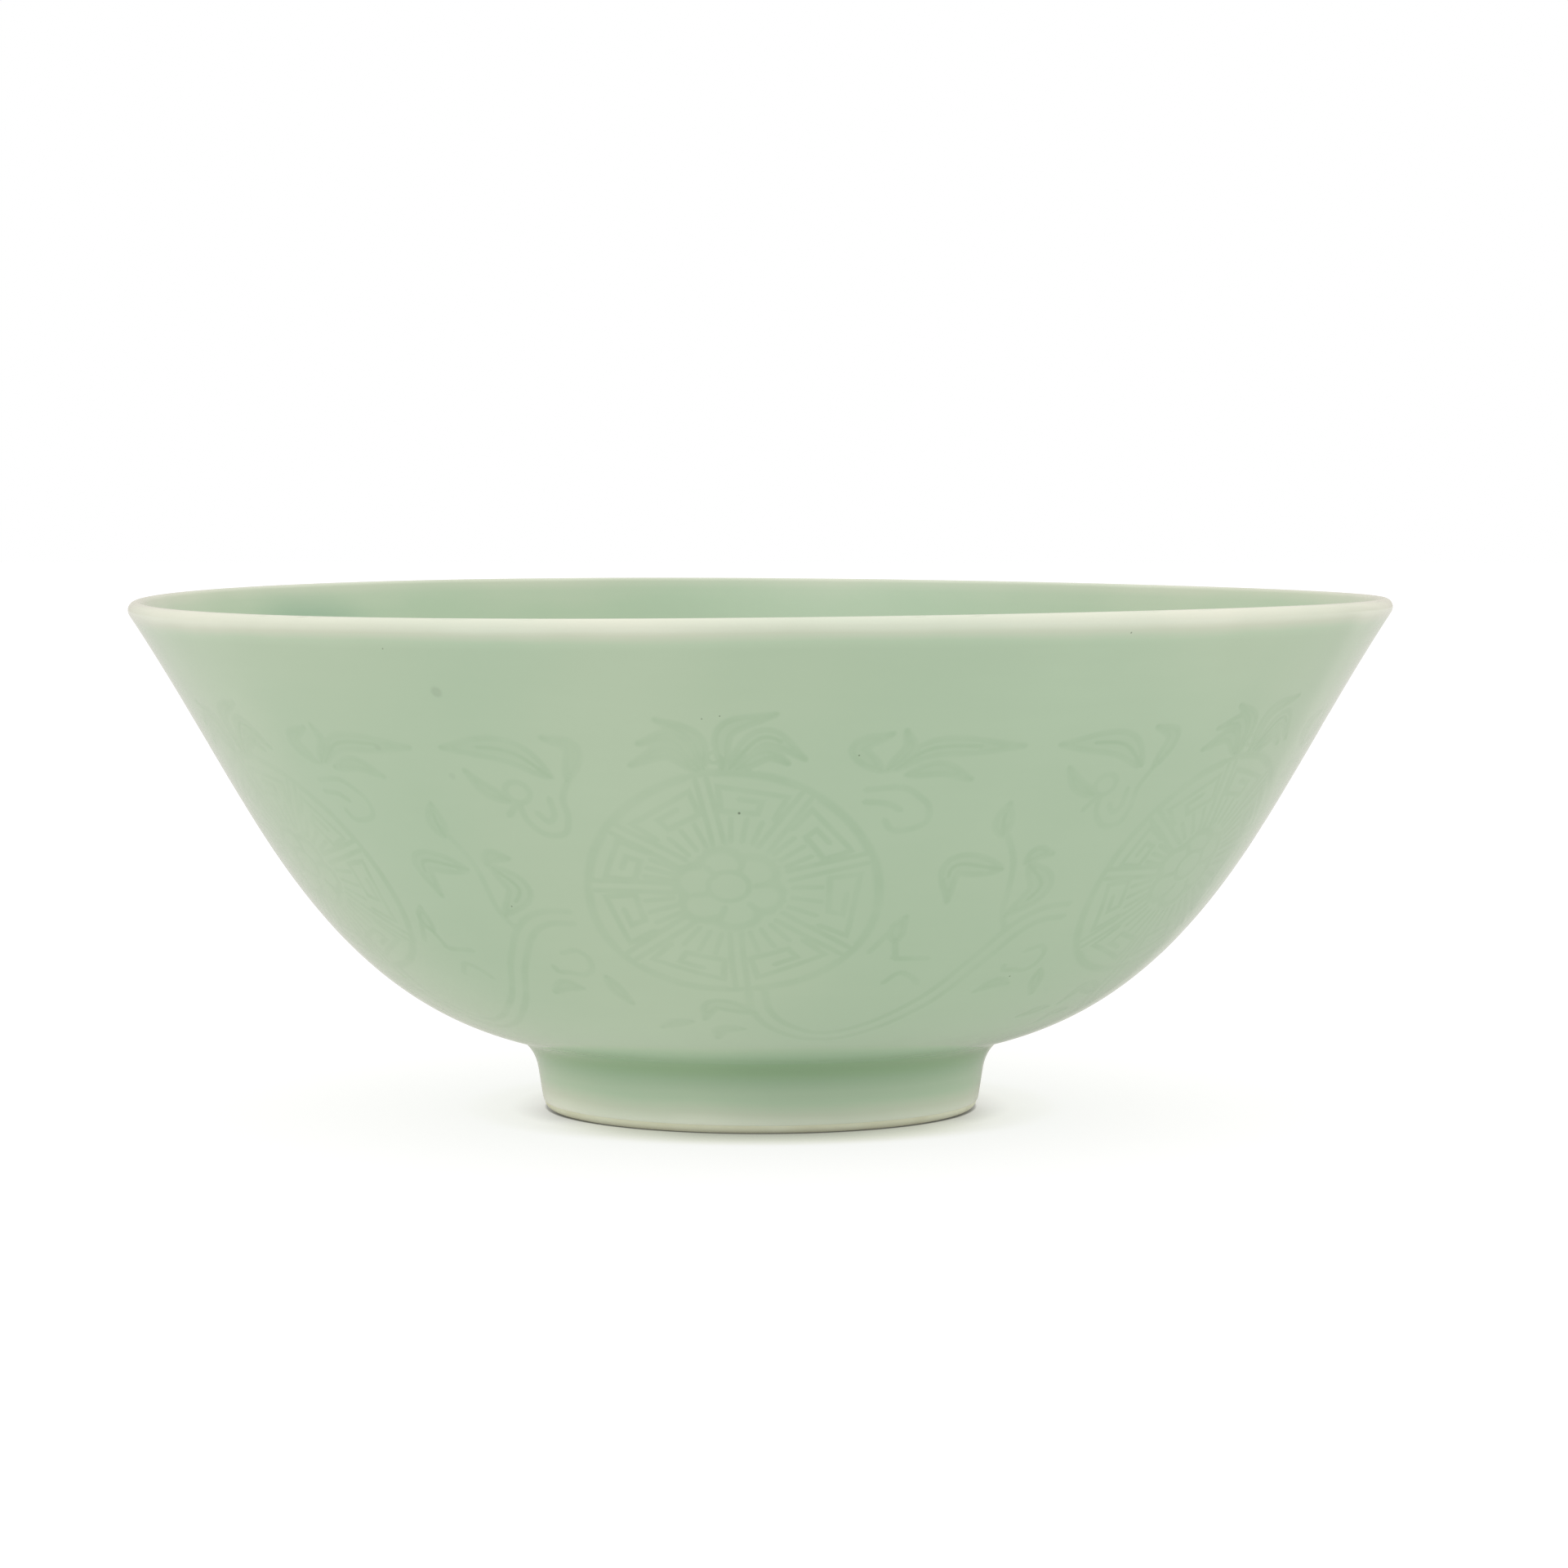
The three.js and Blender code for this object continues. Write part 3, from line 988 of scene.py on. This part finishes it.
porcelain_body = profile_object("porcelain_body_fired", body_profile, uncoated, uncoated)
clay_wall = wall_line_object("clay_wall_line", outside_clay, body_outside[2], top, foot)
turn_and_carve(porcelain_body, fired_clay(), clay_wall, clay_cut_depth)
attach(porcelain_body, "root")
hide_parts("porcelain_body")


# The outside glaze: feldspar and ash glaze with a little iron, fired without air to a grey-green. It is
# poured over the carved wall, runs thin and pale off the lip, fills the cuts, and gathers 0.8 mm deep above
# the foot. Its colour follows its thickness, which each point carries; an added coat on the wall's underside
# near the foot is painted shade.
cloud_coat = 0.16
line_coat = 0.03
cut_filling = 0.12
hollow_filling = 0.065
edge_left = 0.05

# Specks, pinholes and blotches seen in the picture: degrees from the camera's side, millimetres up the wall,
# radius in millimetres, and how much of the colour each leaves.
seen_faults = (
    (-2.1, 55, 0.24, 0.4), (-29.3, 39.5, 0.16, 0.5), (32.3, 80.8, 0.18, 0.5), (-5.2, 69.1, 0.14, 0.5),
    (-3.6, 69.5, 0.14, 0.5), (-29.5, 72.8, 1.1, 0.88), (-30.9, 60, 0.7, 0.94), (-38.7, 64, 0.7, 0.94))


def glaze_colour(thickness):
    """The glaze's colour at a thickness in millimetres: the clay shows through where it is thin."""
    return ramp(thickness, [
        (0.08, srgb(229, 229, 211)), (0.12, srgb(222, 225, 206)), (0.20, srgb(201, 207, 185)),
        (0.30, srgb(180, 198, 170)), (0.35, srgb(176, 194, 166)), (0.60, srgb(158, 181, 150)),
        (0.80, srgb(143, 170, 132)), (1.00, srgb(126, 155, 116))])


def tinted(colour, share, tint):
    """A colour multiplied by a tint, as far as a share says."""
    inputs = {0: share, 6: colour, 7: tint}
    return add_node(colour.id_data, "Mix", inputs, 2, data_type="RGBA", blend_type="MULTIPLY")


def celadon(name, coat, blemishes=None):
    """Celadon glaze over a varying coat, clouded as ash glazes are, with faint throwing lines."""
    material, tree, shader = new_material(name, Roughness=0.1, IOR=1.5)
    cloud = minus(noise(tree, 24, 3, 0.55), 0.5)
    lines = noise(tree, 55, 2, 0.5, (1, 1, 9))
    wander = plus(times(cloud, cloud_coat), times(minus(lines, 0.5), line_coat))
    colour = glaze_colour(plus(coat(tree), wander))
    drift = ramp(noise(tree, 17, 2), [(0.38, (1, 1, 1, 1)), (0.64, (0.94, 0.975, 0.965, 1))], "EASE")
    colour = tinted(colour, 1.0, drift)
    if blemishes:
        colour = blemishes(tree, colour)
    tree.links.new(colour, shader.inputs["Base Color"])
    tree.links.new(map_range(noise(tree, 90, 3), 0.3, 0.7, 0.07, 0.14), shader.inputs["Roughness"])
    ripple = plus(noise(tree, 420, 2), times(lines, 0.8))
    grain(tree, shader, ripple, strength=0.2, distance=0.00005)
    return material


def number_on_mesh(tree, name):
    """A number that the finished mesh carries, for its material."""
    return add_node(tree, "Attribute", output="Fac", attribute_name=name)


def carried_coat(tree):
    """The glaze's own thickness, in millimetres."""
    return number_on_mesh(tree, "coat")


def coat_over_carving(tree):
    """The glaze's thickness over the carved wall: its coat, and what fills the cuts and hollows."""
    filled = map_range(number_on_mesh(tree, "cut"), 0.0, 0.75, interpolation="SMOOTHSTEP")
    press = map_range(noise(tree, 190, 3), 0.3, 0.7, 0.4, 1.0)
    worn = map_range(noise(tree, 42, 1), 0.36, 0.6, 0.55, 1.0)
    in_cuts = times(times(filled, times(press, worn)), cut_filling)
    in_hollows = times(number_on_mesh(tree, "hollow"), hollow_filling)
    return plus(carried_coat(tree), plus(in_cuts, in_hollows))


def glaze_profile(rows, hidden_rows):
    """Profile of a coat of glaze that ends on the axis: its clay side up to its edge, then the outer one."""
    profile = np.vstack([clay_under(*hidden_rows)[::-1], rows[0]])
    coats = np.concatenate([hidden_rows[2][::-1], rows[2]])
    finished = np.concatenate([np.zeros(len(hidden_rows[2])), np.ones(len(rows[2]))])
    return profile, coats, finished


def rounded_edge(points, way, coat):
    """Rolls the end of a coat of glaze down to the clay, as its surface tension leaves it."""
    left = run_along(points)[-1] - run_along(points)
    share = np.clip(left / glaze_edge_round, 0, 1)
    kept = np.sqrt(1 - (1 - share) ** 2) * (1 - edge_left) + edge_left
    return points - way * (coat * (1 - kept))[:, None], way, coat


def small_faults(tree, colour):
    """The faults that the picture shows, and iron specks scattered over all sides."""
    place = add_node(tree, "TexCoord", output="Object")
    for turn, rise, radius, tint in seen_faults:
        spot = on_wall(np.array([[turn - first_roundel, rise]]))[0]
        azimuth = math.radians(turn)
        lift = kiln_values["Saddle Across"] * math.sin(2 * azimuth)
        lift += kiln_values["Saddle Along"] * math.cos(2 * azimuth)
        lift += kiln_values["Tilt"] * math.sin(azimuth)
        spot[2] += lift * (spot[2] / height) ** 2
        away = vector_node("DISTANCE", place, tuple(spot), output="Value")
        share = map_range(away, radius * 0.001, radius * 0.0004, interpolation="SMOOTHSTEP")
        colour = tinted(colour, share, (tint, tint, tint, 1))
    cells = add_node(
        tree, "TexVoronoi", {"Vector": place, "Scale": 150.0, "Randomness": 1.0}, None)
    lot = add_node(tree, "SeparateColor", {0: cells["Color"]})
    share = map_range(cells["Distance"], 0.025, 0.01)
    share = times(math_node("GREATER_THAN", lot, 0.8), share)
    return tinted(colour, share, (0.45, 0.45, 0.42, 1))


surface, way, coat = rounded_edge(*outside_rows(
    lip_count=14, wall_steps=wall_with_band(0.0013, 0.0006), foot_spacing=0.0007))
hidden_clay = outside_rows(lip_count=2, wall_steps=lambda line: spaced(line, 0.006), foot_spacing=0.0015)
top, foot = split_at_band(surface)
outside_profile = np.vstack([surface[top::-1], clay_under(*hidden_clay), surface[:foot - 1:-1]])
outside_coat = np.concatenate([coat[top::-1], hidden_clay[2], coat[:foot - 1:-1]])
outside_finished = np.concatenate([
    np.ones(top + 1), np.zeros(len(hidden_clay[2])), np.ones(len(surface) - foot)])
outside_glaze = profile_object("outside_glaze_coat", outside_profile, outside_coat, outside_finished)
glaze_wall = wall_line_object("glaze_wall_line", surface, coat, top, foot)
outside_finish = celadon("celadon_over_carving", coat_over_carving, small_faults)
turn_and_carve(outside_glaze, outside_finish, glaze_wall, glaze_dip_depth)
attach(outside_glaze, "root")
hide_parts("outside_glaze")
for drawing in (cut_lines, hollow_lines, sheet, clay_wall, glaze_wall):
    bpy.data.objects.remove(drawing)


# The inside glaze: the same celadon, poured in and tipped out before the outside is done. It is plain, thin
# at the lip like the outside, and a little deeper and greener in the well. It has two soft patches near the
# rim, given as middle, how much shorter each is in height than along the wall, reach, and tint.
darker_patch = ((-0.0676, 0.0482, 0.0660), 3.0, 0.018, (0.73, 0.835, 0.815, 1))
pale_patch = ((0.0140, 0.0820, 0.0675), 1.0, 0.042, (1.11, 1.09, 1.13, 1))


def soft_patches(tree, colour):
    """A darker patch on the wall's far left and a paler one at its back, seen in the picture over the rim."""
    place = add_node(tree, "TexCoord", output="Object")
    for middle, flatness, reach, tint in (darker_patch, pale_patch):
        away = vector_node("SUBTRACT", place, middle)
        away = vector_node("LENGTH", vector_node("MULTIPLY", away, (1, 1, flatness)), output="Value")
        share = map_range(away, reach, 0.001, interpolation="SMOOTHSTEP")
        colour = tinted(colour, share, tint)
    return colour


inside_finish = celadon("celadon_inside", carried_coat, soft_patches)
inside_surface = inside_rows(lip_count=12, spacing=0.0015, floor_spacing=0.0015)
inside_hidden = inside_rows(lip_count=1, spacing=0.006, floor_spacing=0.006)
inside_glaze = profile_object("inside_glaze_coat", *glaze_profile(inside_surface, inside_hidden))
add_step(inside_glaze, turning, inside_finish, {"Columns": columns})
add_step(inside_glaze, kiln, inside_finish, kiln_values)
finish_mesh(inside_glaze)
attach(inside_glaze, "root")
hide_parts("inside_glaze")


# The base glaze: a thin wash of the same celadon in the hollow under the foot, plain and unmarked. It is
# brushed in last, after the hollow is dug out, and stops short of the foot's edge.
base_columns = 240


def turned_round(rows):
    """Rows of an outline in the opposite order."""
    return [part[::-1] for part in rows]


base_finish = celadon("celadon_under_the_foot", carried_coat)
base_surface = turned_round(rounded_edge(*turned_round(recess_rows(spacing=0.001))))
base_profile = turned_round(glaze_profile(base_surface, recess_rows(spacing=0.002)))
base_glaze = profile_object("base_glaze_coat", *base_profile)
add_step(base_glaze, turning, base_finish, {"Columns": base_columns})
finish_mesh(base_glaze)
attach(base_glaze, "root")
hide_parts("base_glaze")


# The table and the light: a white sweep lit from all round, a little less from the camera's side. Both are
# for the picture alone, and no part of the bowl.
floor_drop = 0.00002
floor_reach = 3.0
cream = (1.07, 1.0, 0.92)


def grey(level):
    """A colour without hue, white at 1."""
    return (level, level, level, 1)


def level_around(azimuth, stops, tint=(1, 1, 1)):
    """A level by azimuth from the camera's side, its stops in degrees."""
    turn = map_range(azimuth, -math.pi, math.pi)
    return ramp(turn, [
        ((degrees + 180) / 360, (*[level * share for share in tint], 1)) for degrees, level in stops])


def mix_colours(share, first, second):
    """The first colour, or the second where the share is 1."""
    return add_node(share.id_data, "Mix", {0: share, 6: first, 7: second}, 2, data_type="RGBA")


def open_within(tree, distance):
    """How open a place is to the sky past what stands within a distance of it."""
    return add_node(tree, "AmbientOcclusion", {"Distance": distance}, "AO", samples=8)


def table_glow(azimuth, reach):
    """What the bowl sees of the table: paler away from it, shaded under the foot's edge."""
    under = map_range(reach, 0.031, 0.065, interpolation="SMOOTHSTEP")
    near = level_around(azimuth, [
        (-180, 0.74), (-75, 0.87), (-45, 0.84), (-22, 0.83), (5, 0.66), (20, 0.66), (75, 0.80), (180, 0.74)])
    glow = mix_colours(under, near, grey(0.71))
    edge_shade = ramp(map_range(reach, 0.028, 0.033), [
        (0.20, grey(1)), (0.28, grey(0.3)), (0.46, grey(0.3)), (0.90, grey(1))])
    return vector_node("MULTIPLY", glow, edge_shade)


def table_seen(tree, azimuth):
    """What the camera sees of the table: white, with the bowl's soft shadow and a dark line of contact shade
    under its foot, both painted from how open each place is.
    """
    in_front = level_around(azimuth, [
        (-180, 0.35), (-90, 0.25), (-58, 0.42), (-35, 0.8), (-15, 1.0), (20, 1.0), (40, 0.85), (60, 0.55),
        (90, 0.3), (180, 0.35)])
    shadow = times(in_front, minus(1.0, open_within(tree, 0.012)))
    seen = ramp(minus(1.0, shadow), [
        (0.07, grey(0)), (0.49, (0.41, 0.42, 0.35, 1)), (0.61, (0.55, 0.55, 0.47, 1)),
        (0.78, (0.70, 0.695, 0.665, 1)), (0.95, (0.75, 0.745, 0.735, 1)), (1.0, (0.76, 0.755, 0.755, 1))])
    # Painted shade close beside the foot's two ends, where it stands on the table.
    beside = level_around(azimuth, [
        (-180, 0.3), (-95, 0.3), (-80, 0.5), (-62, 0.75), (-45, 0.25), (-28, 0.0), (30, 0.0), (47, 0.25),
        (62, 0.7), (80, 0.5), (95, 0.3), (180, 0.3)])
    beside = times(beside, minus(1.0, open_within(tree, 0.005)))
    seen = vector_node("MULTIPLY", seen, minus(1.0, beside))
    # Painted contact shade: the dark line just under the foot's edge, darkest toward its two ends.
    contact_shade_level = level_around(azimuth, [
        (-110, 0.0), (-88, 0.45), (-80, 0.35), (-68, 0.0), (66, 0.0), (76, 0.2), (88, 0.45), (110, 0.0)])
    line = map_range(open_within(tree, 0.0005), 0.5, 1.0, contact_shade_level, 1.0)
    return vector_node("MULTIPLY", seen, line)


def table_material():
    """White table that glows a little, as a lit sweep does, and is unseen from below."""
    material = bpy.data.materials.new("white_table")
    material.use_nodes = True
    tree = material.node_tree
    tree.nodes.clear()
    path = add_node(tree, "LightPath", output=None)
    place = add_node(tree, "TexCoord", output="Object")
    azimuth = azimuth_of(parts_of(place))
    glow = table_glow(azimuth, vector_node("LENGTH", place, output="Value"))
    mirrored = level_around(azimuth, [
        (-180, 0.38), (-120, 0.40), (-60, 0.42), (60, 0.34), (124, 0.26), (130, 0.38), (180, 0.38)], cream)
    glow = mix_colours(path["Is Glossy Ray"], glow, mirrored)
    glow = mix_colours(path["Is Camera Ray"], glow, table_seen(tree, azimuth))
    matt = add_node(tree, "BsdfDiffuse", {"Color": (0.3, 0.295, 0.295, 1)})
    lift = add_node(tree, "Emission", {"Color": glow, "Strength": 1.0})
    lit = add_node(tree, "AddShader", {0: matt, 1: lift})
    clear = add_node(tree, "BsdfTransparent")
    below = add_node(tree, "NewGeometry", output="Backfacing")
    either = add_node(tree, "MixShader", {0: below, 1: lit, 2: clear})
    add_node(tree, "OutputMaterial", {"Surface": either})
    return material


corners = [(x * floor_reach, y * floor_reach, -floor_drop) for x, y in ((-1, -1), (1, -1), (1, 1), (-1, 1))]
table = add_mesh("table", np.array(corners), [], [(0, 1, 2, 3)])
table.data.materials.append(table_material())


def light_the_room():
    """A white room whose camera side is darker: one level by direction round the bowl, one by height."""
    world = bpy.data.worlds.new("white_room")
    bpy.context.scene.world = world
    world.use_nodes = True
    tree = world.node_tree
    tree.nodes.clear()
    axes = parts_of(add_node(tree, "TexCoord", output="Generated"))
    azimuth = azimuth_of(axes)
    around = level_around(azimuth, [
        (-180, 1.0), (-110, 1.05), (-60, 0.98), (-25, 0.64), (0, 0.35), (25, 0.56), (60, 0.94), (110, 1.03),
        (180, 1.0)])
    mirrored = level_around(azimuth, [
        (-180, 0.62), (-100, 0.62), (-40, 0.56), (0, 0.5), (60, 0.55), (144, 0.42), (150, 0.6),
        (180, 0.62)], cream)
    high = map_range(axes["Z"], 0.1, 0.75, interpolation="SMOOTHSTEP")
    path = add_node(tree, "LightPath", output=None)
    low = mix_colours(path["Is Glossy Ray"], around, mirrored)
    above = mix_colours(path["Is Glossy Ray"], grey(1.3), (0.65, 0.62, 0.58, 1))
    room = mix_colours(high, low, above)
    lit = add_node(tree, "Background", {"Color": room, "Strength": 1.0})
    white = add_node(tree, "Background", {"Color": grey(1), "Strength": 1.0})
    either = add_node(tree, "MixShader", {0: path["Is Camera Ray"], 1: lit, 2: white})
    add_node(tree, "OutputWorld", {"Surface": either})


light_the_room()


# The camera: a little above the rim and looking slightly down, as the picture was taken. Its place is in
# metres, and was found from how round the rim and the foot look. Its turns are in degrees.
camera_distance = 0.7144
camera_height = 0.09397
look_down = 3.914
look_right = 0.261
camera_data = bpy.data.cameras.new("camera")
camera_data.sensor_width = 36.0
camera_data.lens = 117.7
camera = add_object("camera", camera_data)
camera.location = (0.0, -camera_distance, camera_height)
camera.rotation_euler = (math.radians(90 - look_down), 0.0, math.radians(-look_right))
bpy.context.scene.camera = camera
bpy.context.scene.view_settings.view_transform = "Standard"
